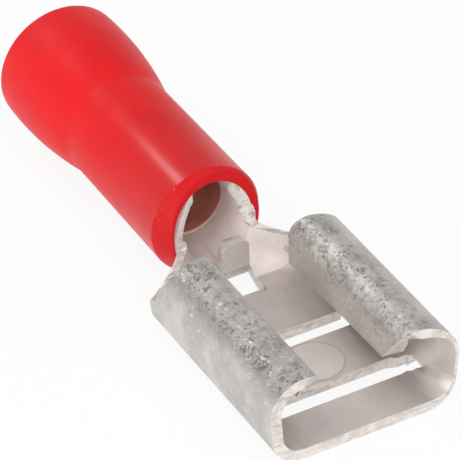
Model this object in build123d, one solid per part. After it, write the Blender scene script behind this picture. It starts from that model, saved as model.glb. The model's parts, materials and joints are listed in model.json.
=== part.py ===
from build123d import *
import math
import os

# Female spade terminal with a moulded sleeve, in millimetres.
# It is modelled with the wire barrel's axis along X and the receptacle's open side up, and is
# turned at the end to lie as it comes to rest: on the sleeve's bell and the receptacle's lip.

# Sheet and overall length
sheet = 0.42                 # tin-plated brass strip
overall_length = 22.5        # from the sleeve's wire entry to the receptacle's mouth

# Wire barrel, rolled from the strip
bore_radius = 1.27
barrel_start = 4.6           # the barrel's rear end, inside the sleeve
barrel_end = 10.35           # where the rolled tube ends and the open trough starts
trough_end = 12.3
seam_gap = 0.05              # where the rolled strip's edges meet
serration_depth = 0.07       # of the V-shaped grooves that grip the wire's strands
serration_width = 0.18
serration_count = 3
serration_pitch = 1.5

# Opening of the trough, seen from above; its edges are the tops of the two wings.
# The strip isn't rolled quite evenly: the seam's gap lies off centre and the left wing is fuller.
left_edge = -0.5             # where the left wing's top edge starts, beside the barrel's end
left_brow = (11.6, -0.6)
left_cheek = (12.05, -1.3)
left_nose = -1.66            # where the wing's front edge turns straight down
right_edge = 0.95
right_brow = (11.3, 1.0)
right_cheek = (11.7, 1.6)
right_step = 12.0            # behind it the right edge lies at right_step_top
right_step_top = 0.3

# Neck, from the trough to the flat floor
neck_bend = 13.5             # crease where the neck's slope meets the floor
floor_drop = 1.53            # the floor's upper face below the barrel's axis
neck_edge_angle = 83.0       # how far round the trough's section its edges stand, degrees
neck_spread_power = 1.2
neck_sections = 5
neck_edge_rise = 0.3         # straight edge above the corner bend where the walls start

# Receptacle for a tab 6.35 wide and 0.8 thick
receptacle_width = 7.35
receptacle_height = 3.45     # outside, from under the floor to the crest of the curls
corner_radius = 1.2          # outer radius of the bend from floor to wall
floor_crown = 0.25           # degrees; the strip springs back, so the floor's middle stands a hair high
wall_angle = 86.0            # degrees, the walls spread a little towards the top
shoulder_radius = 1.3        # outer radius of the curl, from the wall to its crest
tip_radius = 0.78            # outer radius of the curl, from its crest to its tip
tip_angle = 274.0            # heading of the curl's tip, degrees
tab_gap = 0.78               # between the curl's tip and the bridge at the mouth

# Ends of the curls
wall_start = 13.9            # the wall's rear edge at the top of its corner bend
wall_rear_slope = 0.55       # forward for each unit of height, at the wall
tip_rear = 14.48             # the tip's rear edge, at the same height as wall_start
tip_rear_slope = 0.1
rear_skew = 0.1              # the left curl starts this much later and the right one earlier
tip_rise = 0.3               # the tips' lower edges rise this much from rear to front
curl_front_slope = 0.76      # the tips' front corners are cut back
right_setback = 0.25         # the right curl's crest ends this far behind the mouth
lead_in = 1.0                # length of the bevel that thins the right wall towards the mouth
lead_in_depth = 0.3

# Floor: rear slot, raised bridge with its dimple, front slot
bridge_setback = 2.3         # from the mouth back to the bridge
bridge_length = 2.25
bridge_rise = 0.4
bridge_margin = 1.375        # from the receptacle's side to the top of the ramp
bridge_ramp = 0.5
rear_slot_length = 1.31
rear_slot_margin = 1.075
front_slot_length = 0.55
front_slot_margin = 0.655
front_slot_lobe = 0.36       # radius of the slot's rounded ends
front_slot_lead = 0.12       # the rounded ends lie this far ahead of the slot's middle
dimple_radius = 1.05
dimple_rise = 0.12
relief_radius = 0.13

# Stop tongue, lanced from the floor a little off centre and bent up
tongue_side = 0.2            # its middle, off the axis
tongue_width = 1.05
tongue_front = 13.25
tongue_top = 0.07            # above the axis
tongue_bend = 0.68           # outer radius
tongue_corner = 0.3
window_left = -0.4
window_right = 0.93          # beside the tongue's root
window_right_front = 0.8
window_end = 14.2

# Sleeve
nose_start = 11.35           # where the sleeve's side ends and its front slopes in
nose_end = 12.2
nose_land = 0.06             # width of the flat at the nose's tip
nose_trim = 12.02            # a slanting cut takes the nose's upper part off; it crosses the axis here
nose_slant = 13.0            # degrees, back towards the top
nose_skew = 6.0              # degrees, back towards the right
sleeve_radius = 2.17         # at the front
sleeve_waist = 2.13          # just ahead of the bell
bell_radius = 2.55
bell_crest = 1.2             # where the bell is widest
bell_length = 4.9
bell_wall = 0.5
sleeve_edge = 0.12
funnel_length = 0.9
funnel_seat = 0.25           # thickness of the shoulder that the barrel's rear end meets
throat_radius = 1.5

barrel_radius = bore_radius + sheet
overcut = sheet / 4          # how far a cut reaches past what it takes off
sliver = sheet / 50          # length of the neck's straight edges where its trough is still round
floor_under = -floor_drop - sheet
bridge_top = -floor_drop + bridge_rise
tip_end = bridge_top + tab_gap - tip_rise
crest = floor_under + receptacle_height
bridge_end = overall_length - bridge_setback
bridge_start = bridge_end - bridge_length
bridge_half = receptacle_width / 2 - bridge_margin
rear_slot_start = bridge_start - rear_slot_length
rear_slot_half = receptacle_width / 2 - rear_slot_margin
front_slot_half = receptacle_width / 2 - front_slot_margin
bell_drop = bell_radius - sleeve_waist
bell_run = bell_length - bell_crest
bell_bow = (bell_run**2 + bell_drop**2) / (2 * bell_drop)    # radius of the bell's side outline


def heading(angle):
    return Vector(math.cos(math.radians(angle)), math.sin(math.radians(angle)))


def run(start, angle, moves, inset):
    """Edges of tangent lines and left-hand bends, drawn inset to the left of the outer face."""
    point = Vector(*start) + heading(angle + 90) * inset
    edges = []
    for move in moves:
        if move[0] == "line":
            edge = Line(point, point + heading(angle) * move[1])
        else:
            edge = JernArc(point, heading(angle), move[1] - inset, move[2])
            angle += move[2]
        point = edge @ 1
        edges.append(edge)
    return edges


def bent_strip(under, crown, moves):
    """A face as thick as the strip, to the left of a run from the middle, and its mirror image.

    The run's first move is a line, which falls by the crown's angle, and the second the bend to
    the wall, whose lowest point lies at the height under.
    """
    slope = math.radians(crown)
    middle = under + moves[0][1] * math.sin(slope) + moves[1][1] * (1 - math.cos(slope))
    outer = run((0, middle), -crown, moves, 0)
    inner = run((0, middle), -crown, moves, sheet)
    inner[0] = Line((0, middle + sheet / math.cos(slope)), inner[0] @ 1)
    end_cap = Line(outer[-1] @ 1, inner[-1] @ 1)
    half = outer + inner + [end_cap]
    return make_face(half + [edge.mirror(Plane.YZ) for edge in half])


def channel(corner, corner_angle, flat_half, edge, under, crown):
    """Section of an open channel: flat floor, two corner bends, two straight edges."""
    moves = [("line", flat_half), ("arc", corner, corner_angle + crown), ("line", edge)]
    return bent_strip(under, crown, moves)


def receptacle_moves():
    """The floor's half, the corner, the wall and the curl, worked out from width and height."""
    lean = math.radians(wall_angle)
    corner_top = floor_under + corner_radius * (1 - math.cos(lean))
    shoulder_foot = crest - shoulder_radius * (1 + math.cos(lean))
    wall = (shoulder_foot - corner_top) / math.sin(lean)
    wall_top = receptacle_width / 2 - shoulder_radius * (1 - math.sin(lean))
    crown = math.radians(floor_crown)
    bend_reach = corner_radius * (math.sin(lean) + math.sin(crown))
    floor_half = (wall_top - wall * math.cos(lean) - bend_reach) / math.cos(crown)
    hook = math.radians(tip_angle)
    tip_start = crest - tip_radius * (1 + math.cos(hook))
    tip = (tip_start - tip_end) / abs(math.sin(hook))
    return [
        ("line", floor_half),
        ("arc", corner_radius, wall_angle + floor_crown),
        ("line", wall),
        ("arc", shoulder_radius, 180 - wall_angle),
        ("arc", tip_radius, tip_angle - 180),
        ("line", tip),
    ]


receptacle_run = receptacle_moves()
floor_half = receptacle_run[0][1]
wall_root = floor_under + corner_radius * (1 - math.cos(math.radians(wall_angle)))
neck_edge = wall_root + neck_edge_rise
crest_side = receptacle_width / 2 - shoulder_radius


def along_x(profile, start, end):
    """A profile drawn in Y and Z, as a solid from one X to another."""
    return extrude(Plane.YZ.offset(start) * profile, end - start)


def block(x_from, x_to, half_width, z_from, z_to):
    """A box centred on the XZ plane."""
    size = (x_to - x_from, 2 * half_width, z_to - z_from)
    return Pos((x_from + x_to) / 2, 0, (z_from + z_to) / 2) * Box(*size)


def across_y(points, y_from, y_to):
    """A side outline, drawn in X and Z, as a solid from one Y to another."""
    outline = make_face(Polyline(*points, close=True))
    return Plane.XZ.offset(-y_from) * extrude(outline, -(y_to - y_from))


def curl_rear_cut(lead):
    """What is cut from the right curl's rear, behind a face that winds from tip to wall."""
    side = receptacle_width / 2
    tip_side = crest_side - tip_radius
    tall = crest + sheet
    behind = neck_bend - sheet

    def face_at(y, low):
        share = (y - tip_side) / (side - tip_side)
        base = lead + tip_rear + (wall_start - tip_rear) * share
        slope = tip_rear_slope + (wall_rear_slope - tip_rear_slope) * share
        foot = (base + slope * (low - wall_root), low)
        top = (base + slope * (tall - wall_root), tall)
        outline = Polyline((behind, low), foot, top, (behind, tall), close=True)
        return Plane.XZ.offset(-y) * make_face(outline)

    whole = loft([face_at(0, neck_edge), face_at(side + sheet, neck_edge)], ruled=True)
    at_tip = loft([face_at(0, tip_end - sheet), face_at(crest_side, tip_end - sheet)], ruled=True)
    return [whole, at_tip]


def curl_front_cut(setback):
    """What is cut from the right curl's front, ahead of a face that winds from its shoulder to its tip."""
    low = tip_end - sheet
    tall = crest + sheet
    beyond = overall_length + sheet
    tip_side = crest_side - tip_radius

    def face_at(y, back, slope):
        front = overall_length - back
        foot = (front - slope * (crest - low), low)
        outline = Polyline((front, tall), (front, crest), foot, (beyond, low), (beyond, tall), close=True)
        return Plane.XZ.offset(-y) * make_face(outline)

    tip = face_at(tip_side - sheet, setback, curl_front_slope)
    inside = face_at(tip_side + sheet, setback, curl_front_slope)
    top = face_at(crest_side, setback, 0)
    cuts = [loft([tip, inside], ruled=True), loft([inside, top], ruled=True)]
    if setback:
        shoulder = face_at(receptacle_width / 2 - sheet, 0, 0)
        cuts.append(loft([top, shoulder], ruled=True))
    return cuts


def receptacle():
    body = along_x(bent_strip(floor_under, floor_crown, receptacle_run), wall_start, overall_length)
    right_cuts = curl_rear_cut(-rear_skew) + curl_front_cut(right_setback)
    left_cuts = [shape.mirror(Plane.XZ) for shape in curl_rear_cut(rear_skew) + curl_front_cut(0)]
    low = tip_end - sheet
    front = overall_length + sheet
    tips_under = [(wall_start - sheet, low), (front, low), (front, tip_end + tip_rise),
                  (wall_start - sheet, tip_end)]
    under_cut = across_y(tips_under, -crest_side, crest_side)
    return body - right_cuts - left_cuts - under_cut - wall_lead_in()


def wall_lead_in():
    """What is cut from the inside of the right wall, its corner bend and its shoulder at the mouth."""
    slope = math.radians(floor_crown)
    middle = floor_under + floor_half * math.sin(slope) + corner_radius * (1 - math.cos(slope))
    inner = run((0, middle), -floor_crown, receptacle_run, sheet)[1:4]
    foot, top = inner[0] @ 0, inner[-1] @ 1
    back = Vector(-lead_in_depth, 0)
    side = Polyline(top, top + back, foot + back, foot)
    section = make_face(inner + [side])
    start = overall_length - lead_in
    overshoot = lead_in_depth * (1 + sheet / lead_in)
    front = Plane.YZ.offset(overall_length + sheet) * Pos(overshoot, 0) * section
    return loft([Plane.YZ.offset(start) * section, front], ruled=True)


def bridge():
    """The strip between the two slots, pushed up with a ramp at each end."""
    slope = math.atan2(bridge_rise, bridge_ramp)
    drop = sheet / math.cos(slope)
    tuck = sheet * math.tan(slope / 2)
    foot = bridge_half + bridge_ramp
    top = Polyline((0, bridge_top), (bridge_half, bridge_top), (foot, -floor_drop))
    under = Polyline((0, bridge_top - sheet), (bridge_half - tuck, bridge_top - sheet),
                     (foot, -floor_drop - drop))
    half = [top, under, Line(top @ 1, under @ 1)]
    section = make_face(half + [edge.mirror(Plane.YZ) for edge in half])
    level = block(bridge_start, bridge_end, receptacle_width / 2, floor_under, crest)
    return (along_x(section, bridge_start, bridge_end) & level) + dimple(0) - dimple(sheet)


def dimple(depth):
    """The shallow cap pressed up from the bridge, or at a depth of the sheet the hollow under it."""
    ball = (dimple_radius**2 + dimple_rise**2) / (2 * dimple_rise)
    middle = (bridge_start + bridge_end) / 2
    base = bridge_top - depth
    around = block(bridge_start, bridge_end, 2 * dimple_radius, base - sheet / 2, base + sheet / 2)
    return Pos(middle, 0, base + dimple_rise - ball) * Sphere(ball) & around


def floor_with_bridge(body):
    """Cuts the two slots out of the floor, with the floor between them, and sets the bridge in."""
    low = floor_under - sheet
    high = tip_end - overcut
    opening = block(rear_slot_start, bridge_start, rear_slot_half, low, high)
    span = block(bridge_start - overcut, bridge_end + overcut, bridge_half + bridge_ramp, low, high)
    front_slot = block(bridge_end, bridge_end + front_slot_length, front_slot_half, low, high)
    lobe_x = bridge_end + front_slot_length / 2 + front_slot_lead
    lobe = extrude(Circle(front_slot_lobe), high - low)
    relief = extrude(Circle(relief_radius), high - low)
    rounds = [Pos(lobe_x, side * front_slot_half, low) * lobe for side in (-1, 1)]
    rounds += [Pos(rear_slot_start, side * rear_slot_half, low) * relief for side in (-1, 1)]
    return body - opening - span - front_slot - rounds + bridge()


def neck_under(x):
    """Height of the neck's underside, which falls evenly from the trough to the floor."""
    share = min((x - trough_end) / (neck_bend - trough_end), 1)
    return -barrel_radius + (floor_under + barrel_radius) * share


def neck_section(x):
    """The neck's section, from the round trough's at share 0 to the receptacle's floor at share 1."""
    share = (x - trough_end) / (wall_start - trough_end)
    corner = barrel_radius + (corner_radius - barrel_radius) * share
    angle = neck_edge_angle + (wall_angle - neck_edge_angle) * share
    flat = max(floor_half * share**neck_spread_power, sliver)
    edge = max(neck_edge_rise * share, sliver)
    crown = floor_crown * max((x - neck_bend) / (wall_start - neck_bend), 0)
    return Plane.YZ.offset(x) * channel(corner, angle, flat, edge, neck_under(x), crown)


def neck():
    """The strip between trough and receptacle: it opens out while it drops, then runs level."""
    step = (neck_bend - trough_end) / (neck_sections - 1)
    slope = loft([neck_section(trough_end + step * index) for index in range(neck_sections)])
    level = loft([neck_section(neck_bend), neck_section(wall_start)], ruled=True)
    return slope + level


def barrel():
    """The rolled barrel with its seam and serrations, and the trough that it opens into."""
    tube = along_x(Circle(barrel_radius) - Circle(bore_radius), barrel_start, trough_end)
    seam = block(barrel_start, barrel_end, seam_gap / 2, 0, 2 * barrel_radius)
    grooves = [serration(barrel_end - index * serration_pitch) for index in range(serration_count)]
    return tube - seam - grooves


def serration(end):
    """A ring with a V-shaped edge, to cut one groove around the bore."""
    start = end - serration_width
    middle = (start + end) / 2
    inside = bore_radius - sheet
    outline = Polyline((start, inside), (start, bore_radius), (middle, bore_radius + serration_depth),
                       (end, bore_radius), (end, inside), close=True)
    return revolve(make_face(outline), Axis.X)


def wing_opening(outline):
    """Everything above the axis in one half of the trough's opening."""
    return extrude(make_face(Polyline(*outline, close=True)), 2 * barrel_radius)


def trough_with_wings():
    """The barrel and the trough, opened from above between the tops of its two wings."""
    beyond = 2 * barrel_radius
    front = trough_end + sheet
    middle = (left_edge + right_edge) / 2
    left = [(barrel_end, middle), (barrel_end, left_edge), left_brow, left_cheek, (trough_end, left_nose),
            (front, left_nose), (front, middle)]
    right = [(barrel_end, middle), (front, middle), (front, beyond), (right_step, beyond),
             (right_step, barrel_radius), right_cheek, right_brow, (barrel_end, right_edge)]
    edge_height = -barrel_radius * math.cos(math.radians(neck_edge_angle))
    steps = [(right_cheek[0], right_step_top), (right_step, edge_height)]
    side_cuts = [Pos(0, barrel_radius, 0) * block(x, front, barrel_radius, z, beyond) for x, z in steps]
    return barrel() - wing_opening(left) - wing_opening(right) - side_cuts


def tongue():
    """The stop tongue: it rises from the window's rear edge through a round bend."""
    rear = tongue_front - tongue_bend
    under = neck_under(rear)
    rise = tongue_top - under - tongue_bend
    moves = [("arc", tongue_bend, 90), ("line", rise)]
    outer = run((rear, under), 0, moves, 0)
    inner = run((rear, under), 0, moves, sheet)
    caps = [Line(outer[0] @ 0, inner[0] @ 0), Line(outer[-1] @ 1, inner[-1] @ 1)]
    side = extrude(make_face(outer + inner + caps), tongue_width, both=True)
    width = RectangleRounded(tongue_width, 2 * (tongue_top - floor_under), tongue_corner)
    front_shape = along_x(Pos(0, floor_under) * width, rear - sheet, tongue_front + sheet)
    return Pos(0, tongue_side, 0) * (Plane.XZ * side & front_shape)


def window():
    """The hole that the tongue leaves, with a small relief at each front corner."""
    rear = tongue_front - tongue_bend
    low = floor_under - sheet
    outline = Polyline((rear, window_left), (window_end, window_left), (window_end, window_right_front),
                       (rear, window_right), close=True)
    relief = Pos(window_end, 0) * Circle(relief_radius)
    sides = (window_left, window_right_front)
    shapes = [make_face(outline)] + [Pos(0, side) * relief for side in sides]
    return [Pos(0, 0, low) * extrude(shape, 2 * sheet + barrel_radius - bore_radius) for shape in shapes]


def terminal():
    strip = trough_with_wings() + neck() + floor_with_bridge(receptacle())
    return strip - window() + tongue()


def sleeve():
    """The moulded sleeve, revolved: belled wire entry, funnel, seat for the barrel, sloping nose."""
    rim = bell_radius - bell_bow + math.sqrt(bell_bow**2 - bell_crest**2)
    flare = ThreePointArc((sleeve_edge, rim), (bell_crest, bell_radius), (bell_length, sleeve_waist))
    entry = bell_radius - bell_wall
    outline = Polyline(
        (bell_length, sleeve_waist),
        (nose_start, sleeve_radius),
        (nose_end, barrel_radius + nose_land),
        (nose_end, barrel_radius),
        (barrel_start, barrel_radius),
        (barrel_start, throat_radius),
        (barrel_start - funnel_seat, throat_radius),
        (barrel_start - funnel_seat - funnel_length, entry),
        (sleeve_edge, entry),
        (0, entry + sleeve_edge),
        (0, rim - sleeve_edge),
        (sleeve_edge, rim),
    )
    body = revolve(make_face([flare, outline]), Axis.X)
    side = 2 * bell_radius
    beyond = Pos(side / 2, 0, 0) * Box(side, side, side)
    return body - Pos(nose_trim, 0, 0) * Rot(0, -nose_slant, nose_skew) * beyond


def resting_tilt():
    """Degrees by which the part leans when it lies on the bell and the receptacle's lower lip."""
    along = overall_length - bell_crest
    rise = bell_bow - bell_radius - floor_under
    reach = math.hypot(along, rise)
    return math.degrees(math.asin(bell_bow / reach) - math.atan2(rise, along))


pieces = {"terminal": terminal(), "sleeve": sleeve()}
lying = {name: Rot(0, resting_tilt(), 0) * piece for name, piece in pieces.items()}
box = Compound(list(lying.values())).bounding_box()
to_origin = Pos(-(box.min.X + box.max.X) / 2, -(box.min.Y + box.max.Y) / 2, -box.min.Z)

os.makedirs("parts", exist_ok=True)
for name, piece in lying.items():
    export_step(to_origin * piece, f"parts/{name}.step")
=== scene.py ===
# %% [markdown]
# # A female spade terminal, dressed in Blender
#
# The real object is two pieces: a strip of tin-plated brass, stamped and rolled into a receptacle
# and a wire barrel, and a red sleeve of soft PVC that is moulded and pushed over the barrel.
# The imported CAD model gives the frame. This lesson gives both pieces their soft edges and their
# finishes, and sets up the light and the camera of a small product photograph.

# %% Load the frame
import json
import math

import bmesh
import bpy
from mathutils import Matrix, Vector
from mathutils.bvhtree import BVHTree


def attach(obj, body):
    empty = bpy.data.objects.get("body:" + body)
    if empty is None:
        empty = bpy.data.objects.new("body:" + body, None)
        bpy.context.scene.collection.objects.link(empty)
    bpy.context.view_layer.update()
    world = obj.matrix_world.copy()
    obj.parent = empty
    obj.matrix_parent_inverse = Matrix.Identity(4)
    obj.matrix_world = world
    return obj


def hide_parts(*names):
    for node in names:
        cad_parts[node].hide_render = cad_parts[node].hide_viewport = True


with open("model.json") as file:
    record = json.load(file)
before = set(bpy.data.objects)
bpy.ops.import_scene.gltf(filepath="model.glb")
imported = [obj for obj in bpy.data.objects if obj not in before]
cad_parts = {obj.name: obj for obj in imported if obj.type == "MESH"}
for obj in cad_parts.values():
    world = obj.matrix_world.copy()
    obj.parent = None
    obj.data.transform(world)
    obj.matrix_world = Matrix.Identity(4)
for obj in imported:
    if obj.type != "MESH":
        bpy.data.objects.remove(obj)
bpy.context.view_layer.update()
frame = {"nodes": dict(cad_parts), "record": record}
print("CAD nodes:", sorted(frame["nodes"]))

# %% [markdown]
# ## The barrel's own directions
#
# The part lies with a slight lean, so the barrel isn't quite level. Shapes and patterns are easier
# to place along the barrel, and the record's wire entry says where its axis runs. From here on,
# "along" counts millimetres from the wire entry, "across" is to the side, and "above" is up from
# the axis.

# %% Find the barrel's axis
MM = 0.001
ENTRY_MOUNT_ALONG = 1.785        # where the wire entry's point lies, from the sleeve's end

wire_entry = next(m for m in frame["record"]["mounts"] if m["name"] == "wire_entry")
along = -Vector(wire_entry["axis"]).normalized()
across = Vector((0.0, 1.0, 0.0))
above = along.cross(across)
axis_start = Vector(wire_entry["pos_m"]) - along * ENTRY_MOUNT_ALONG * MM
to_barrel = Matrix((along, across, above))


def in_barrel_mm(point):
    """A place in the frame, as millimetres along, across and above the barrel's axis."""
    return to_barrel @ (Vector(point) - axis_start) / MM


def from_barrel_mm(point):
    """The opposite: a place in the frame, in metres."""
    return axis_start + to_barrel.transposed() @ Vector(point) * MM


print("wire entry at", [round(v / MM, 2) for v in axis_start], "mm")

# %% [markdown]
# ## Soft edges, and a piece that stands for a node
#
# Knife-sharp edges give a computer picture away: no stamped or moulded edge is that sharp, and
# without a soft edge there is no thin line of light along it. Both pieces therefore get a fine
# bevel, on just those edges where the surface turns sharply. The finished mesh becomes an object
# that rides on the part and stands for its CAD node, which stays in the physics model.

# %% Soften edges and hand over a piece
SAME_POINT = 2e-6
SHADED_SHARP_FROM = math.radians(38)


def sharp_edges(shape, from_angle):
    """The edges along which the surface turns by more than an angle."""
    return [e for e in shape.edges if e.is_manifold and e.calc_face_angle() > from_angle]


def soften(shape, edges, radius_mm, segments):
    """Rounds the edges with a fine bevel."""
    bmesh.ops.bevel(shape, geom=edges, offset=radius_mm * MM, affect="EDGES", segments=segments,
                    profile=0.5, material=-1, clamp_overlap=True)


def as_piece(shape, name, node):
    """Turns a bmesh into a smooth object that rides on the part and stands for a CAD node."""
    bmesh.ops.recalc_face_normals(shape, faces=shape.faces)
    for face in shape.faces:
        face.smooth = True
    mesh = bpy.data.meshes.new(name)
    shape.to_mesh(mesh)
    shape.free()
    mesh.set_sharp_from_angle(angle=SHADED_SHARP_FROM)
    piece = bpy.data.objects.new(name, mesh)
    bpy.context.scene.collection.objects.link(piece)
    even = piece.modifiers.new("even_shading", "WEIGHTED_NORMAL")
    even.keep_sharp = True
    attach(piece, "root")
    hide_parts(node)
    print(name, len(mesh.polygons), "faces")
    return piece


# %% [markdown]
# ## A copy of the strip
#
# The strip's stamped and rolled form is all in the CAD, so nothing is modelled anew. But a CAD node
# is a pile of loose triangles, which can't be bevelled, and the node itself is left alone because
# the physics model needs it. So a copy is welded, and its flat areas are joined into single faces.

# %% Copy and weld the strip
FLAT_WITHIN = math.radians(0.6)

strip_shape = bmesh.new()
strip_shape.from_mesh(frame["nodes"]["terminal"].data)
bmesh.ops.remove_doubles(strip_shape, verts=strip_shape.verts, dist=SAME_POINT)
bmesh.ops.dissolve_limit(strip_shape, angle_limit=FLAT_WITHIN, verts=strip_shape.verts,
                         edges=strip_shape.edges)
bmesh.ops.recalc_face_normals(strip_shape, faces=strip_shape.faces)
print("welded strip has", len(strip_shape.faces), "faces")

# %% [markdown]
# ## Small corrections at the bridge and the mouth
#
# On the real strip the raised bridge runs out almost level into the bend of each wall, and the
# front slot beside it ends low, near the floor. The CAD bridge comes down further, and its slot
# climbs the bend. A few corners are moved here, before the bevel, so that the soft edges follow:
# with so few of them, that is simpler than cutting new openings.

# %% Level the bridge's ends and the front slot
FLOOR_HEIGHT = -1.53
BRIDGE_REAR, BRIDGE_FRONT = 17.95, 20.2
RAMP_FOOT = 2.8                              # across, where the bridge's ramps end in the CAD
REAR_FOOT_ACROSS, REAR_FOOT_HEIGHT = 2.84, -1.40
FRONT_FOOT_ACROSS = 2.65
SLOT_END_HEIGHT = {-1: -1.14, 1: -1.28}      # on the left and on the right, above the axis
SLOT_FRONT = 20.97
SLOT_BEND = 20.6                             # ahead of it the slot's round end turns inwards
SLOT_FRONT_HEIGHT = -1.33
CLIMB_LOW, CLIMB_HIGH = -1.45, -0.7          # the upper corners of the climbing ends lie between
OUTER_FALL, OUTER_FALL_FROM = 0.25, 2.97     # the slot's outermost corners fall by this slope
UNDERSIDE_BELOW, UNDERSIDE_REACH = -1.75, 3.03
UNDERSIDE_DEPTH = 0.41                       # of the underside, below the upper face


def nudge(shape, start, end):
    """Moves the corner that lies nearest to one place to another; both in barrel millimetres."""
    corner = min(shape.verts, key=lambda v: (in_barrel_mm(v.co) - Vector(start)).length)
    corner.co = from_barrel_mm(end)


def raise_ramp_feet(shape):
    """Ends the ramps at the bridge's sides higher, at its rear and at its front."""
    for side in (-1, 1):
        nudge(shape, (BRIDGE_REAR, side * RAMP_FOOT, FLOOR_HEIGHT),
              (BRIDGE_REAR, side * REAR_FOOT_ACROSS, REAR_FOOT_HEIGHT))
        nudge(shape, (BRIDGE_FRONT, side * RAMP_FOOT, FLOOR_HEIGHT),
              (BRIDGE_FRONT, side * FRONT_FOOT_ACROSS, SLOT_END_HEIGHT[side]))


def level_slot_ends(shape):
    """Keeps the ends of the front slot low, where the CAD lets them climb the bend of the walls."""
    for corner in shape.verts:
        place = in_barrel_mm(corner.co)
        reach = abs(place.y)
        if not (BRIDGE_FRONT - 0.05 < place.x < SLOT_FRONT and reach > FRONT_FOOT_ACROSS - 0.05):
            continue
        level = SLOT_END_HEIGHT[math.copysign(1, place.y)]
        fall = OUTER_FALL * max(0.0, reach - OUTER_FALL_FROM)
        if reach > RAMP_FOOT - 0.02 and CLIMB_LOW < place.z < CLIMB_HIGH:
            place.z = level - fall if place.x < SLOT_BEND else min(place.z, SLOT_FRONT_HEIGHT - fall)
        elif place.x < BRIDGE_FRONT + 0.03 and reach < UNDERSIDE_REACH and place.z < UNDERSIDE_BELOW:
            place.z = level - UNDERSIDE_DEPTH
        corner.co = from_barrel_mm(place)


raise_ramp_feet(strip_shape)
level_slot_ends(strip_shape)
print("slot ends at", SLOT_END_HEIGHT[-1], "and", SLOT_END_HEIGHT[1], "mm from the axis")

# %% [markdown]
# ## The tips of the two curls
#
# The shear that cuts the strip leaves a pale band on the front of each curl. On the real strip the
# bands keep their width right round to the tips, and the right one is broader than the sheet, as if
# pressed flat. So the inner corners of both bands come forward a little, and the right band swells
# sideways by a half sine, which starts and ends at nothing and so leaves no step.

# %% Shape the curls' end faces
TIP_CORNERS = (
    ((20.793, 2.015, -0.418), (21.15, 2.02, -0.15)),      # right curl, the sheet's inner side
    ((21.114, 2.093, -0.407), (21.17, 2.09, -0.18)),
    ((21.367, -2.092, -0.399), (21.46, -2.07, -0.14)),    # left curl
    ((21.049, -2.015, -0.409), (21.40, -2.03, -0.22)),
)
TIP_REAR = 21.05
TIP_INNER, TIP_OUTER = 1.95, 2.33            # across
TIP_LOW, TIP_HIGH = -0.45, 1.07              # above the axis
TIP_SWELL = 0.26


def widen_right_tip(shape):
    """The right curl's end face is broader than the sheet, as if the shear had pressed it flat."""
    for corner in shape.verts:
        place = in_barrel_mm(corner.co)
        if place.x > TIP_REAR and TIP_INNER < place.y < TIP_OUTER and TIP_LOW < place.z < TIP_HIGH:
            rise = (place.z - TIP_LOW) / (TIP_HIGH - TIP_LOW)
            place.y += TIP_SWELL * math.sin(math.pi * rise)
            corner.co = from_barrel_mm(place)


for was, becomes in TIP_CORNERS:
    nudge(strip_shape, was, becomes)
widen_right_tip(strip_shape)
print("moved", len(TIP_CORNERS), "corners of the tips")

# %% Bevel the strip
STRIP_SHARP_FROM = math.radians(28)
STRIP_EDGE = 0.03

soften(strip_shape, sharp_edges(strip_shape, STRIP_SHARP_FROM), STRIP_EDGE, 2)
strip = as_piece(strip_shape, "tinned_strip", "terminal")

# %% [markdown]
# ## The sleeve, turned like a pot
#
# The sleeve is moulded round a pin, so it is a body of revolution: half of its outline is drawn
# once and spun round the barrel's axis. That gives a much finer skin than the CAD's facets, which
# matters on a glossy piece.

# %% Draw the sleeve's outline
BELL_CREST, BELL_RADIUS = 1.2, 2.55
BELL_BOW = 16.508                # radius of the bell's long bow
BELL_STEPS = 18
WAIST_ALONG, WAIST_RADIUS = 4.9, 2.13
NOSE_START, NOSE_RADIUS = 11.35, 2.17
NOSE_END = 12.2
BARREL_RADIUS = 1.69
ENTRY_RADIUS, THROAT_RADIUS = 2.05, 1.5
RIM_EDGE = 0.12                  # bevel round the wire entry
NOSE_LAND = 0.06                 # width of the flat at the nose's tip
SEAT_REAR, FUNNEL_FRONT, FUNNEL_REAR = 4.6, 4.35, 3.45


def bell_at(along_mm):
    """The bell's radius at a place along it: a long bow, widest at the crest."""
    return BELL_RADIUS - BELL_BOW + math.sqrt(BELL_BOW**2 - (along_mm - BELL_CREST) ** 2)


bell = [RIM_EDGE + (WAIST_ALONG - RIM_EDGE) * step / BELL_STEPS for step in range(BELL_STEPS)]
outline = [(0.0, bell_at(RIM_EDGE) - RIM_EDGE)] + [(place, bell_at(place)) for place in bell]
outline += [(WAIST_ALONG, WAIST_RADIUS), (NOSE_START, NOSE_RADIUS),
            (NOSE_END, BARREL_RADIUS + NOSE_LAND), (NOSE_END, BARREL_RADIUS),
            (SEAT_REAR, BARREL_RADIUS), (SEAT_REAR, THROAT_RADIUS), (FUNNEL_FRONT, THROAT_RADIUS),
            (FUNNEL_REAR, ENTRY_RADIUS), (RIM_EDGE, ENTRY_RADIUS), (0.0, ENTRY_RADIUS + RIM_EDGE)]
print("outline of", len(outline), "corners")

# %% [markdown]
# ## Spin, cut and round
#
# The outline is one closed loop of corners. Spin carries it once round the axis, and merges the last
# step with the first. The real nose ends aslant at the top, so a slanting plane cuts its upper part
# off. The cut leaves a hole, which is filled, and the edges are softened. The edge where the side
# turns into the nose is a blunt one, so here the bevel starts from a smaller angle than on the strip.

# %% Spin the sleeve, cut the nose and round the edges
SLEEVE_STEPS = 112
NOSE_TRIM = 12.02                # along, where the slanting cut crosses the axis
TRIM_FACING = (1.0, 0.108, 0.231)
SLEEVE_SHARP_FROM = math.radians(20)
SLEEVE_EDGE = 0.05

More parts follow.
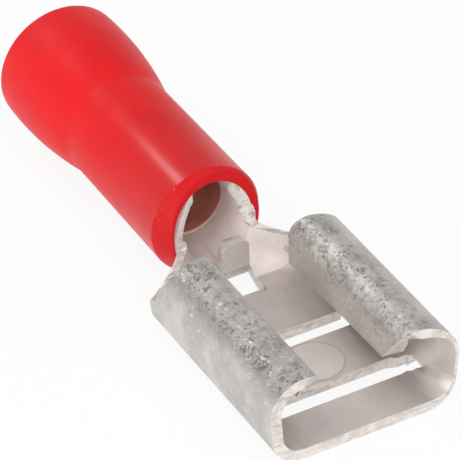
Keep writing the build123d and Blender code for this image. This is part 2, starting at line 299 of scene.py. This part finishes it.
turned = bmesh.new()
corners = [turned.verts.new(from_barrel_mm((place, 0.0, radius))) for place, radius in outline]
ring = [turned.edges.new((a, b)) for a, b in zip(corners, corners[1:] + corners[:1])]
bmesh.ops.spin(turned, geom=corners + ring, cent=axis_start, axis=along, angle=2 * math.pi,
               steps=SLEEVE_STEPS, use_merge=True)
bmesh.ops.remove_doubles(turned, verts=turned.verts, dist=SAME_POINT)
bmesh.ops.recalc_face_normals(turned, faces=turned.faces)
trim_facing = to_barrel.transposed() @ Vector(TRIM_FACING)
cut = bmesh.ops.bisect_plane(turned, geom=turned.verts[:] + turned.edges[:] + turned.faces[:],
                             plane_co=from_barrel_mm((NOSE_TRIM, 0, 0)), plane_no=trim_facing,
                             clear_outer=True)
rim = [e for e in cut["geom_cut"] if isinstance(e, bmesh.types.BMEdge) and e.is_boundary]
bmesh.ops.triangle_fill(turned, edges=rim, use_beauty=True, use_dissolve=True)
bmesh.ops.recalc_face_normals(turned, faces=turned.faces)
open_edges = [e for e in turned.edges if not e.is_manifold]
soften(turned, sharp_edges(turned, SLEEVE_SHARP_FROM), SLEEVE_EDGE, 3)
insulation = as_piece(turned, "moulded_sleeve", "sleeve")
print("open edges left:", len(open_edges))

# %% [markdown]
# ## Small tools for the finishes
#
# Every finish is a few noise patterns, each pushed through a ramp. The patterns read the object's
# own coordinates, turned to the barrel's directions and scaled to millimetres, so that a scale of
# 5 always means five bumps to a millimetre. Such a pattern needs no picture and no unwrapping, and
# it stays where it is on the metal when the part is turned.

# %% Node helpers
def rgb(red, green, blue):
    """A colour with full cover."""
    return (red, green, blue, 1.0)


def set_range(node, low, high, out_low, out_high):
    """Makes a Map Range node turn low to high into out_low to out_high, softly."""
    node.interpolation_type = "SMOOTHSTEP"
    node.inputs["From Min"].default_value = low
    node.inputs["From Max"].default_value = high
    node.inputs["To Min"].default_value = out_low
    node.inputs["To Max"].default_value = out_high


class Finish:
    """A material being built: it keeps the node tree and hands out connected nodes."""

    def __init__(self, name):
        self.material = bpy.data.materials.new(name)
        self.material.use_nodes = True
        self.tree = self.material.node_tree
        self.shader = self.tree.nodes["Principled BSDF"]
        place = self.tree.nodes.new("ShaderNodeTexCoord").outputs["Object"]
        turn = self.tree.nodes.new("ShaderNodeMapping")
        turn.inputs["Scale"].default_value = (1 / MM,) * 3
        turn.inputs["Rotation"].default_value = to_barrel.to_euler()
        turn.inputs["Location"].default_value = -(to_barrel @ axis_start) / MM
        self.tree.links.new(place, turn.inputs["Vector"])
        self.place = turn.outputs["Vector"]

    def put(self, socket, value):
        """Feeds a socket, from another node or with a plain value."""
        if isinstance(value, bpy.types.NodeSocket):
            self.tree.links.new(value, socket)
        else:
            socket.default_value = value

    def noise(self, scale, detail=3.0, roughness=0.55, distortion=0.0, stretch=None):
        """A cloudy pattern, with a scale in bumps to a millimetre."""
        node = self.tree.nodes.new("ShaderNodeTexNoise")
        node.inputs["Scale"].default_value = scale
        node.inputs["Detail"].default_value = detail
        node.inputs["Roughness"].default_value = roughness
        node.inputs["Distortion"].default_value = distortion
        place = self.place
        if stretch:
            stretched = self.tree.nodes.new("ShaderNodeMapping")
            stretched.inputs["Scale"].default_value = stretch
            self.put(stretched.inputs["Vector"], place)
            place = stretched.outputs["Vector"]
        self.put(node.inputs["Vector"], place)
        return node.outputs["Fac"]

    def ramp(self, value, low, high, out_low=0.0, out_high=1.0):
        """A soft step, from out_low at the low value to out_high at the high one."""
        node = self.tree.nodes.new("ShaderNodeMapRange")
        set_range(node, low, high, out_low, out_high)
        self.put(node.inputs["Value"], value)
        return node.outputs["Result"]

    def math(self, operation, first, second=0.0):
        """One step of arithmetic on one or two values."""
        node = self.tree.nodes.new("ShaderNodeMath")
        node.operation = operation
        self.put(node.inputs[0], first)
        self.put(node.inputs[1], second)
        return node.outputs[0]

    def times(self, first, second):
        """Two values multiplied, so that a pattern shows only where the other one is."""
        return self.math("MULTIPLY", first, second)

    def mix(self, share, first, second):
        """The second colour laid over the first, by a share from nought to one."""
        node = self.tree.nodes.new("ShaderNodeMix")
        node.data_type = "RGBA"
        self.put(node.inputs["Factor"], share)
        self.put(node.inputs["A"], first)
        self.put(node.inputs["B"], second)
        return node.outputs["Result"]

    def parts(self):
        """The place on the piece: millimetres along, across and above."""
        node = self.tree.nodes.new("ShaderNodeSeparateXYZ")
        self.put(node.inputs[0], self.place)
        return node.outputs[0], node.outputs[1], node.outputs[2]

    def thin_lines(self, value, width):
        """Lines where a pattern passes its middle value, one at the line and nought away from it."""
        off = self.math("ABSOLUTE", self.math("SUBTRACT", value, 0.5))
        return self.ramp(off, 0.0, width, 1.0, 0.0)

    def band(self, value, start, end, soft):
        """One between two places, nought outside them."""
        rise = self.ramp(value, start - soft, start + soft)
        fall = self.ramp(value, end - soft, end + soft, 1.0, 0.0)
        return self.times(rise, fall)

    def bump(self, height, depth_mm, below=None):
        """Fine relief from a pattern, on top of another relief if one is given."""
        node = self.tree.nodes.new("ShaderNodeBump")
        node.inputs["Strength"].default_value = 1.0
        node.inputs["Distance"].default_value = depth_mm * MM
        self.put(node.inputs["Height"], height)
        if below is not None:
            self.put(node.inputs["Normal"], below)
        return node.outputs["Normal"]


print("finish helpers ready")

# %% [markdown]
# ## Tin plate, outside
#
# Tin over brass is a satin grey metal. The outside of the curls has been dragged through the
# rolling tools, so it is mottled, scuffed and pitted. Clouds, grain, blotches, creases and specks
# are patterns of their own, so each can be set alone, and the marks are kept to the strips of the
# two curls that the tools rubbed.

# %% The scuffed outside
LEFT_RUB, RIGHT_RUB = (-3.35, -2.0), (1.45, 2.75)        # across
TIP_FLANK = (1.2, 1.72)
DULL_FLANK = (-3.45, -2.6)


def rubbed_band(tin, across_mm, above_mm):
    """The strips of the two curls that the rolling tools have dragged over."""
    left = tin.band(across_mm, *LEFT_RUB, 0.35)
    right = tin.band(across_mm, *RIGHT_RUB, 0.3)
    high = tin.ramp(above_mm, -0.1, 0.9, 0.12, 1.0)
    return tin.times(tin.ramp(tin.math("MAXIMUM", left, right), 0, 1, 0.15, 1), high)


def painted_light_flank(tin, across_mm, above_mm):
    """The right curl's side that faces its tip, in shade, where warm reflected light is painted."""
    side = tin.band(across_mm, *TIP_FLANK, 0.2)
    return tin.times(side, tin.ramp(above_mm, 1.2, 0.7))


CLOUDY_TIN = rgb(0.46, 0.435, 0.415)
CLEAR_TIN = rgb(0.64, 0.61, 0.58)
TIN_GRAIN = rgb(0.62, 0.595, 0.56)
RUBBED_BLOTCH = rgb(0.25, 0.23, 0.21)
# painted warm reflected light, for the right curl's flank in shade
PAINTED_FLANK_LIGHT = rgb(0.66, 0.575, 0.50)
DULL_TIN = rgb(0.28, 0.26, 0.24)
TIN_GLINT = rgb(0.82, 0.80, 0.76)
DARK_MARK = rgb(0.12, 0.105, 0.095)


def scuffed_tin():
    tin = Finish("scuffed_tin")
    place_across, place_above = tin.parts()[1:]
    cloud = tin.ramp(tin.noise(0.7, 5, 0.65), 0.36, 0.66)
    grain = tin.noise(9.0, 4, 0.7)
    blotch = tin.ramp(tin.noise(3.2, 5, 0.72, 0.5), 0.42, 0.70)
    rubbed = rubbed_band(tin, place_across, place_above)
    crease = tin.thin_lines(tin.noise(1.5, 3, 0.62, 1.3), 0.03)
    patches = tin.ramp(tin.noise(1.7, 2, 0.5), 0.48, 0.60)
    marks = tin.times(tin.times(crease, patches), rubbed)
    specks = tin.times(tin.ramp(tin.noise(4.6, 3, 0.6, 0.8), 0.60, 0.66), rubbed)
    glints = tin.ramp(tin.noise(6.0, 2, 0.6, 0.5), 0.60, 0.70)
    dark = tin.math("MAXIMUM", marks, tin.times(specks, 0.7))
    colour = tin.mix(cloud, CLOUDY_TIN, CLEAR_TIN)
    colour = tin.mix(tin.ramp(grain, 0.3, 0.7, 0, 0.5), colour, TIN_GRAIN)
    colour = tin.mix(tin.times(blotch, tin.times(rubbed, 0.75)), colour, RUBBED_BLOTCH)
    flank = painted_light_flank(tin, place_across, place_above)
    # painted light: warm reflected light on the right curl's flank that faces its tip
    colour = tin.mix(tin.times(flank, 0.6), colour, PAINTED_FLANK_LIGHT)
    dull = tin.times(tin.band(place_across, *DULL_FLANK, 0.2), tin.ramp(place_above, 0.0, 0.8))
    colour = tin.mix(tin.times(dull, 0.5), colour, DULL_TIN)
    colour = tin.mix(tin.times(glints, 0.6), colour, TIN_GLINT)
    colour = tin.mix(tin.times(dark, 0.75), colour, DARK_MARK)
    tin.put(tin.shader.inputs["Base Color"], colour)
    tin.shader.inputs["Metallic"].default_value = 0.65
    tin.put(tin.shader.inputs["Roughness"], tin.ramp(grain, 0.3, 0.7, 0.44, 0.56))
    fine = tin.bump(tin.noise(11, 3, 0.65), 0.014)
    lumps = tin.bump(tin.noise(3.0, 3, 0.6, 0.4), 0.018, fine)
    pits = tin.bump(tin.math("SUBTRACT", 1.0, dark), 0.03, lumps)
    tin.put(tin.shader.inputs["Normal"], pits)
    return tin.material


outside_finish = scuffed_tin()
print("made", outside_finish.name)

# %% [markdown]
# ## Tin plate, inside
#
# The floor and the insides of the curls only slid over the tools, so they are smoother and warmer,
# with faint drag lines along the strip. The dimple is pressed up from the middle of the bridge. Its
# cap is real geometry, but too shallow to catch the light by itself, so a painted highlight on the
# cap and a painted shade in a thin ring round it follow it by the distance from its middle.

# %% The smoother inside
DIMPLE_ALONG, DIMPLE_RADIUS = (BRIDGE_REAR + BRIDGE_FRONT) / 2, 1.05
INNER_CLOUD = rgb(0.68, 0.62, 0.59)
INNER_CLEAR = rgb(0.76, 0.70, 0.67)
DRAG_LINE = rgb(0.56, 0.52, 0.485)
INNER_GRAIN = rgb(0.80, 0.75, 0.715)
DIMPLE_PAINTED_HIGHLIGHT = rgb(0.86, 0.81, 0.77)
DIMPLE_PAINTED_SHADE = rgb(0.40, 0.365, 0.34)
INNER_SHADE = rgb(0.36, 0.325, 0.29)


def smooth_tin():
    tin = Finish("smooth_tin")
    cloud = tin.ramp(tin.noise(0.7, 4, 0.6), 0.35, 0.68)
    grain = tin.noise(8.0, 4, 0.65)
    drag = tin.noise(2.2, 4, 0.6, 0.3, (0.35, 2.4, 1.0))
    colour = tin.mix(cloud, INNER_CLOUD, INNER_CLEAR)
    colour = tin.mix(tin.ramp(drag, 0.45, 0.75, 0, 0.2), colour, DRAG_LINE)
    colour = tin.mix(tin.ramp(grain, 0.35, 0.65, 0, 0.25), colour, INNER_GRAIN)
    place_along, place_across = tin.parts()[:2]
    ahead = tin.math("SUBTRACT", place_along, DIMPLE_ALONG)
    squares = tin.math("ADD", tin.math("POWER", ahead, 2.0), tin.math("POWER", place_across, 2.0))
    from_dimple = tin.math("SQRT", squares)
    pressed = tin.ramp(from_dimple, DIMPLE_RADIUS - 0.04, DIMPLE_RADIUS, 1.0, 0.0)
    painted_rim_shade = tin.band(from_dimple, DIMPLE_RADIUS - 0.03, DIMPLE_RADIUS + 0.03, 0.03)
    # painted highlight on the dimple's cap, and painted shade in the thin ring round its rim
    colour = tin.mix(tin.times(pressed, 0.7), colour, DIMPLE_PAINTED_HIGHLIGHT)
    colour = tin.mix(tin.times(painted_rim_shade, 0.5), colour, DIMPLE_PAINTED_SHADE)
    shade = tin.ramp(place_across, -2.3, -3.2, 0.0, 0.5)
    colour = tin.mix(shade, colour, INNER_SHADE)
    tin.put(tin.shader.inputs["Base Color"], colour)
    tin.shader.inputs["Metallic"].default_value = 0.65
    tin.put(tin.shader.inputs["Roughness"], tin.ramp(drag, 0.3, 0.7, 0.42, 0.52))
    tin.put(tin.shader.inputs["Normal"], tin.bump(tin.noise(10, 3, 0.6), 0.006))
    return tin.material


inside_finish = smooth_tin()
print("made", inside_finish.name)

# %% [markdown]
# ## The bright trough
#
# Between the barrel and the receptacle the strip is an open trough that faces the light, so it looks
# the palest metal of all. That light is painted into this paler copy of the tin, and so is the shadow
# that its left wing throws into it. A fully metallic finish would mirror its darker surroundings
# instead, so this one is hardly metallic.

# %% The bright trough
BARREL_FRONT, TROUGH_END = 10.35, 12.3
# painted light: paler tones for the light that the trough faces
LIT_TROUGH_CLOUD = rgb(0.92, 0.82, 0.77)
LIT_TROUGH_CLEAR = rgb(0.96, 0.88, 0.83)
LIT_TROUGH_BRUSHED = rgb(0.74, 0.66, 0.60)
TROUGH_SHADE = rgb(0.40, 0.32, 0.28)


def painted_lit_trough():
    tin = Finish("painted_lit_trough")
    place_along, place_across = tin.parts()[:2]
    cloud = tin.ramp(tin.noise(0.9, 4, 0.6), 0.35, 0.68)
    brushed = tin.noise(3.0, 3, 0.6, 0.2, (0.4, 2.0, 1.0))
    colour = tin.mix(cloud, LIT_TROUGH_CLOUD, LIT_TROUGH_CLEAR)
    colour = tin.mix(tin.ramp(brushed, 0.5, 0.7, 0, 0.3), colour, LIT_TROUGH_BRUSHED)
    # painted shadow that the left wing throws into the trough
    in_shade = tin.times(tin.ramp(place_across, 0.35, -0.9, 0.0, 0.78),
                         tin.ramp(place_along, TROUGH_END + 0.9, TROUGH_END))
    colour = tin.mix(in_shade, colour, TROUGH_SHADE)
    tin.put(tin.shader.inputs["Base Color"], colour)
    tin.shader.inputs["Metallic"].default_value = 0.1
    tin.put(tin.shader.inputs["Roughness"], tin.ramp(brushed, 0.3, 0.7, 0.40, 0.50))
    tin.put(tin.shader.inputs["Normal"], tin.bump(tin.noise(9, 3, 0.6), 0.006))
    return tin.material


lit_trough_finish = painted_lit_trough()
print("made", lit_trough_finish.name)

# %% [markdown]
# ## Sheared edges
#
# A shear first cuts and then tears the sheet, and bares paler metal in thin layers with fine cracks
# between them. Noise that is stretched along the edge gives both. The wings' edges at the trough
# are the brightest, with small dark pits.

# %% The sheared edges
TORN_TIN = rgb(0.68, 0.63, 0.585)
CUT_TIN = rgb(0.84, 0.79, 0.745)
EDGE_LAYER = rgb(0.48, 0.43, 0.39)
EDGE_CRACK = rgb(0.30, 0.26, 0.23)
WING_EDGE = rgb(0.96, 0.91, 0.87)
WING_PIT = rgb(0.30, 0.25, 0.22)


def sheared_edge():
    tin = Finish("sheared_edge")
    tear = tin.noise(3.0, 4, 0.6, 0.6)
    layers = tin.noise(4.0, 3, 0.6, 0.4, (1.0, 0.25, 2.0))
    colour = tin.mix(tin.ramp(tear, 0.35, 0.65), TORN_TIN, CUT_TIN)
    colour = tin.mix(tin.ramp(layers, 0.5, 0.66, 0, 0.25), colour, EDGE_LAYER)
    cracks = tin.thin_lines(tin.noise(2.6, 2, 0.5, 0.3, (1.0, 0.22, 2.2)), 0.03)
    colour = tin.mix(tin.times(cracks, 0.5), colour, EDGE_CRACK)
    wing = tin.ramp(tin.parts()[0], TROUGH_END + 0.2, TROUGH_END - 0.2)
    colour = tin.mix(tin.times(wing, 0.45), colour, WING_EDGE)
    pits = tin.times(tin.ramp(tin.noise(3.0, 3, 0.6, 0.6), 0.50, 0.62), wing)
    colour = tin.mix(tin.times(pits, 0.7), colour, WING_PIT)
    tin.put(tin.shader.inputs["Base Color"], colour)
    tin.put(tin.shader.inputs["Metallic"], tin.ramp(wing, 0.0, 1.0, 0.6, 0.2))
    tin.put(tin.shader.inputs["Roughness"], tin.ramp(tear, 0.3, 0.7, 0.36, 0.5))
    tin.put(tin.shader.inputs["Normal"], tin.bump(layers, 0.014))
    return tin.material


edge_finish = sheared_edge()
print("made", edge_finish.name)

# %% [markdown]
# ## The bore
#
# Inside the barrel the metal picks up the sleeve's red, and its front groove catches a thin arc of
# light. The light that finds its way in there is too weak to do that alone, so the tone is given.

# %% The dark bore
LIT_GROOVE = (10.20, 10.33)
BORE_DARK = rgb(0.56, 0.24, 0.18)
BORE_LIGHT = rgb(0.68, 0.31, 0.23)
GROOVE_GLOW = rgb(0.95, 0.84, 0.78)


def barrel_bore():
    tin = Finish("barrel_bore")
    ring = tin.noise(1.4, 3, 0.5, 0.2, (3.0, 1.0, 1.0))
    colour = tin.mix(tin.ramp(ring, 0.3, 0.7), BORE_DARK, BORE_LIGHT)
    lit_groove = tin.band(tin.parts()[0], *LIT_GROOVE, 0.03)
    colour = tin.mix(lit_groove, colour, GROOVE_GLOW)
    tin.put(tin.shader.inputs["Base Color"], colour)
    tin.shader.inputs["Metallic"].default_value = 0.4
    tin.shader.inputs["Roughness"].default_value = 0.5
    tin.put(tin.shader.inputs["Normal"], tin.bump(tin.noise(6, 3, 0.6), 0.006))
    return tin.material


bore_finish = barrel_bore()
print("made", bore_finish.name)

# %% [markdown]
# ## Which face gets which finish
#
# The strip is one piece, but its faces differ. A ray sent into the metal from a face tells a rolled
# face from a sheared edge: behind a rolled face the other side of the sheet is right there, one
# thickness away. Whether a rolled face looks out or in follows from the nearest bend's centre.

# %% Sort the strip's faces
SHEET = 0.42
NECK_FRONT = 13.5
TONGUE_REAR, TONGUE_REACH = 12.5, 0.75
RECEPTACLE_REAR = 13.6
CURL_SIDE = 2.375                # across, to the middle of a curl
CURL_HEIGHT = 0.2                # above the axis, to the middle of a curl
BORE_REACH = 1.45
ROLLED_WITHIN = 0.93             # of a rolled trough's wall, how nearly its normals point at the axis
FACING_FRONT = 0.7


def looks_outward(where, normal):
    if where.x < RECEPTACLE_REAR:
        return normal.y * where.y + normal.z * where.z > 0
    if where.z > -0.2:
        side = math.copysign(CURL_SIDE, where.y)
        return normal.y * (where.y - side) + normal.z * (where.z - CURL_HEIGHT) > 0
    return normal.y * where.y + normal.z * (where.z + 0.3) > 0


def sort_faces(piece, finishes):
    mesh = piece.data
    for finish in finishes:
        mesh.materials.append(finish)
    outside, inside, edge, bore, trough = range(5)
    shape = bmesh.new()
    shape.from_mesh(mesh)
    tree = BVHTree.FromBMesh(shape)
    counts = [0, 0, 0, 0, 0]
    for face in shape.faces:
        centre = face.calc_center_median()
        hit = tree.ray_cast(centre - face.normal * 0.002 * MM, -face.normal)
        depth = hit[3] / MM if hit[3] is not None else 0.0
        where = in_barrel_mm(centre)
        normal = to_barrel @ face.normal
        reach = math.hypot(where.y, where.z)
        rolled = abs(normal.y * where.y + normal.z * where.z) > ROLLED_WITHIN * reach
        if where.x < TROUGH_END and not rolled:
            kind = edge
        elif depth > 1.3 * SHEET or depth < 0.5 * SHEET:
            kind = edge
        elif where.x > RECEPTACLE_REAR and abs(normal.x) > FACING_FRONT:
            kind = edge
        elif looks_outward(where, normal):
            kind = outside
        elif where.x < TONGUE_REAR or where.x < NECK_FRONT and abs(where.y) > TONGUE_REACH:
            kind = trough
        else:
            kind = inside
        if where.x < BARREL_FRONT and reach < BORE_REACH:
            kind = bore
        face.material_index = kind
        counts[kind] += 1
    shape.to_mesh(mesh)
    shape.free()
    print("faces outside, inside, edge, bore, trough:", counts)


sort_faces(strip, [outside_finish, inside_finish, edge_finish, bore_finish, lit_trough_finish])

# %% [markdown]
# ## Red PVC
#
# Soft PVC lets a little light in, so its shaded side stays a warm red instead of going dark. The
# moulded skin is satin, with a faint sheen and a low, broad ripple. Towards the nose it is glossier
# in the photograph, so a coat that grows along the sleeve gives the gloss there. A few pale flecks
# mark the nose's edge.

# %% The sleeve's finish
PVC_DEEP = rgb(0.68, 0.005, 0.008)
PVC_BRIGHT = rgb(0.73, 0.007, 0.010)
PALE_FLECK = rgb(0.90, 0.30, 0.28)
# painted shade for the sleeve's front
PAINTED_SHADE_RED = rgb(0.30, 0.003, 0.005)


def red_pvc():
    pvc = Finish("red_pvc")
    place_along = pvc.parts()[0]
    cloud = pvc.noise(0.35, 2, 0.5)
    colour = pvc.mix(pvc.ramp(cloud, 0.35, 0.65), PVC_DEEP, PVC_BRIGHT)
    flecks = pvc.times(pvc.ramp(pvc.noise(4.5, 2, 0.5), 0.66, 0.70),
                       pvc.band(place_along, NOSE_START - 0.03, NOSE_START + 0.22, 0.05))
    colour = pvc.mix(pvc.times(flecks, 0.6), colour, PALE_FLECK)
    # painted shade: the red darkens along the sleeve towards the nose
    painted_front_shade = pvc.ramp(place_along, 4.5, 9.5, 0.0, 0.28)
    colour = pvc.mix(painted_front_shade, colour, PAINTED_SHADE_RED)
    pvc.put(pvc.shader.inputs["Base Color"], colour)
    wear = pvc.times(pvc.noise(0.8, 2, 0.5), 1.2)
    pvc.put(pvc.shader.inputs["Roughness"], pvc.ramp(pvc.noise(0.8, 2, 0.5), 0.3, 0.7, 0.48, 0.56))
    gloss = pvc.times(pvc.ramp(pvc.math("ADD", place_along, wear), 7.0, 12.0, 0.0, 0.36),
                      pvc.ramp(place_along, NOSE_START - 0.1, NOSE_START + 0.05, 1.0, 0.0))
    pvc.put(pvc.shader.inputs["Coat Weight"], gloss)
    pvc.shader.inputs["Coat Roughness"].default_value = 0.24
    pvc.shader.inputs["Sheen Weight"].default_value = 0.10
    pvc.shader.inputs["Sheen Roughness"].default_value = 0.35
    pvc.shader.inputs["IOR"].default_value = 1.5
    pvc.shader.inputs["Specular IOR Level"].default_value = 0.22
    pvc.shader.inputs["Subsurface Weight"].default_value = 0.3
    pvc.shader.inputs["Subsurface Radius"].default_value = (1.0, 0.12, 0.10)
    pvc.shader.inputs["Subsurface Scale"].default_value = 0.5 * MM
    ripple = pvc.bump(pvc.noise(0.45, 1, 0.4), 0.03)
    pvc.put(pvc.shader.inputs["Normal"], pvc.bump(flecks, 0.01, ripple))
    return pvc.material


insulation.data.materials.append(red_pvc())
print("sleeve wears", insulation.data.materials[0].name)

# %% [markdown]
# ## Floor
#
# A product photograph on white shows no floor, only a trace of shadow. The floor glows plain white
# for the camera and for reflections, and stays an ordinary white surface for the light itself, so
# that it still sends light up under the part.

# %% Lay the floor
FLOOR_HALF = 0.6
FLOOR_GLOW = 0.9

sheet_of_floor = bmesh.new()
bmesh.ops.create_grid(sheet_of_floor, x_segments=2, y_segments=2, size=FLOOR_HALF)
floor_mesh = bpy.data.meshes.new("floor")
sheet_of_floor.to_mesh(floor_mesh)
sheet_of_floor.free()
floor = bpy.data.objects.new("floor", floor_mesh)
bpy.context.scene.collection.objects.link(floor)

paper = bpy.data.materials.new("white_paper")
paper.use_nodes = True
nodes, links = paper.node_tree.nodes, paper.node_tree.links
nodes.clear()
ray = nodes.new("ShaderNodeLightPath")
glow = nodes.new("ShaderNodeEmission")
glow.inputs["Strength"].default_value = 1.0
matte = nodes.new("ShaderNodeBsdfDiffuse")
matte.inputs["Color"].default_value = rgb(0.88, 0.88, 0.88)
seen = nodes.new("ShaderNodeMath")
seen.operation = "MAXIMUM"
seen_through = nodes.new("ShaderNodeMath")
seen_through.operation = "MAXIMUM"
share = nodes.new("ShaderNodeMath")
share.operation = "MULTIPLY"
share.inputs[1].default_value = FLOOR_GLOW
blend = nodes.new("ShaderNodeMixShader")
surface = nodes.new("ShaderNodeOutputMaterial")
links.new(ray.outputs["Is Camera Ray"], seen.inputs[0])
links.new(ray.outputs["Is Glossy Ray"], seen.inputs[1])
links.new(seen.outputs[0], seen_through.inputs[0])
links.new(ray.outputs["Is Transmission Ray"], seen_through.inputs[1])
links.new(seen_through.outputs[0], share.inputs[0])
links.new(share.outputs[0], blend.inputs[0])
links.new(matte.outputs[0], blend.inputs[1])
links.new(glow.outputs[0], blend.inputs[2])
links.new(blend.outputs[0], surface.inputs["Surface"])
floor.data.materials.append(paper)
print("floor glow", FLOOR_GLOW)

# %% [markdown]
# ## Light
#
# The photograph was taken in a bright tent, with light from all round. A plain pale world does the
# tent, stronger near the horizon than overhead. Three large soft lamps, from above, from the left
# and from the front, shape the metal, and a small one behind gives the sleeve its long streak.

# %% World and lamps
OVERHEAD_LIGHT = 0.42
LOW_LIGHT = 1.0
OVERHEAD_FROM = 0.55             # height in the sky from which the overhead light holds

world = bpy.data.worlds.new("tent")
bpy.context.scene.world = world
world.use_nodes = True
nodes, links = world.node_tree.nodes, world.node_tree.links
nodes.clear()
ray = nodes.new("ShaderNodeLightPath")
white = nodes.new("ShaderNodeBackground")
white.inputs["Color"].default_value = rgb(1.0, 1.0, 1.0)
tent = nodes.new("ShaderNodeBackground")
tent.inputs["Color"].default_value = rgb(1.0, 1.0, 1.0)
direction = nodes.new("ShaderNodeTexCoord")
height = nodes.new("ShaderNodeSeparateXYZ")
fade = nodes.new("ShaderNodeMapRange")
set_range(fade, 0.0, OVERHEAD_FROM, LOW_LIGHT, OVERHEAD_LIGHT)
links.new(direction.outputs["Generated"], height.inputs[0])
links.new(height.outputs["Z"], fade.inputs["Value"])
links.new(fade.outputs["Result"], tent.inputs["Strength"])
choice = nodes.new("ShaderNodeMixShader")
sky = nodes.new("ShaderNodeOutputWorld")
links.new(ray.outputs["Is Camera Ray"], choice.inputs[0])
links.new(tent.outputs[0], choice.inputs[1])
links.new(white.outputs[0], choice.inputs[2])
links.new(choice.outputs[0], sky.inputs["Surface"])


def soft_lamp(name, place_mm, width_mm, height_mm, watts):
    lamp = bpy.data.lights.new(name, "AREA")
    lamp.shape = "RECTANGLE"
    lamp.size = width_mm * MM
    lamp.size_y = height_mm * MM
    lamp.energy = watts
    holder = bpy.data.objects.new(name, lamp)
    holder.location = Vector(place_mm) * MM
    holder.rotation_euler = (-holder.location).to_track_quat("-Z", "Y").to_euler()
    bpy.context.scene.collection.objects.link(holder)
    print(name, watts, "W at", place_mm)
    return holder


soft_lamp("top_lamp", (60, 40, 150), 150, 150, 0.08)
soft_lamp("left_lamp", (60, -160, 70), 120, 90, 0.13)
soft_lamp("front_lamp", (170, -40, 90), 120, 90, 0.11)
soft_lamp("streak_lamp", (-100, -34, 107), 22, 30, 0.036)

# %% [markdown]
# ## Camera
#
# The view was fitted to the photograph: from the receptacle's front, to the left and well above,
# with a long lens from about 14 centimetres. It is given round the barrel's own axis, in the
# directions right, down and forward of the picture.

# %% Set the camera
AIM_ALONG = 11.25
VIEW_AZIMUTH = -0.495            # radians, as are the next two
VIEW_ELEVATION = 0.648
VIEW_ROLL = 0.024
VIEW_DISTANCE = 139.082          # millimetres
AIM_RIGHT = 0.933
AIM_DOWN = 0.45
FOCAL_PIXELS = 28.1 * VIEW_DISTANCE
PICTURE_PIXELS = 460
SENSOR = 36.0

toward = Vector((math.cos(VIEW_ELEVATION) * math.cos(VIEW_AZIMUTH),
                 math.cos(VIEW_ELEVATION) * math.sin(VIEW_AZIMUTH), math.sin(VIEW_ELEVATION)))
forward = -toward
level = forward.cross(Vector((0, 0, 1))).normalized()
plumb = forward.cross(level)
right = math.cos(VIEW_ROLL) * level + math.sin(VIEW_ROLL) * plumb
down = math.cos(VIEW_ROLL) * plumb - math.sin(VIEW_ROLL) * level
eye_mm = Vector((AIM_ALONG, 0, 0)) + right * AIM_RIGHT + down * AIM_DOWN + toward * VIEW_DISTANCE
from_barrel = to_barrel.transposed()

lens = bpy.data.cameras.new("camera")
lens.sensor_width = SENSOR
lens.lens = FOCAL_PIXELS / PICTURE_PIXELS * SENSOR
lens.clip_start = 0.01
camera = bpy.data.objects.new("camera", lens)
camera_turn = Matrix((from_barrel @ right, from_barrel @ -down, from_barrel @ toward)).transposed()
camera.matrix_world = Matrix.Translation(axis_start + from_barrel @ eye_mm * MM) @ camera_turn.to_4x4()
bpy.context.scene.collection.objects.link(camera)
bpy.context.scene.camera = camera
bpy.context.scene.view_settings.view_transform = "Standard"
print("lens", round(lens.lens, 1), "mm, eye at", [round(v, 4) for v in camera.location])
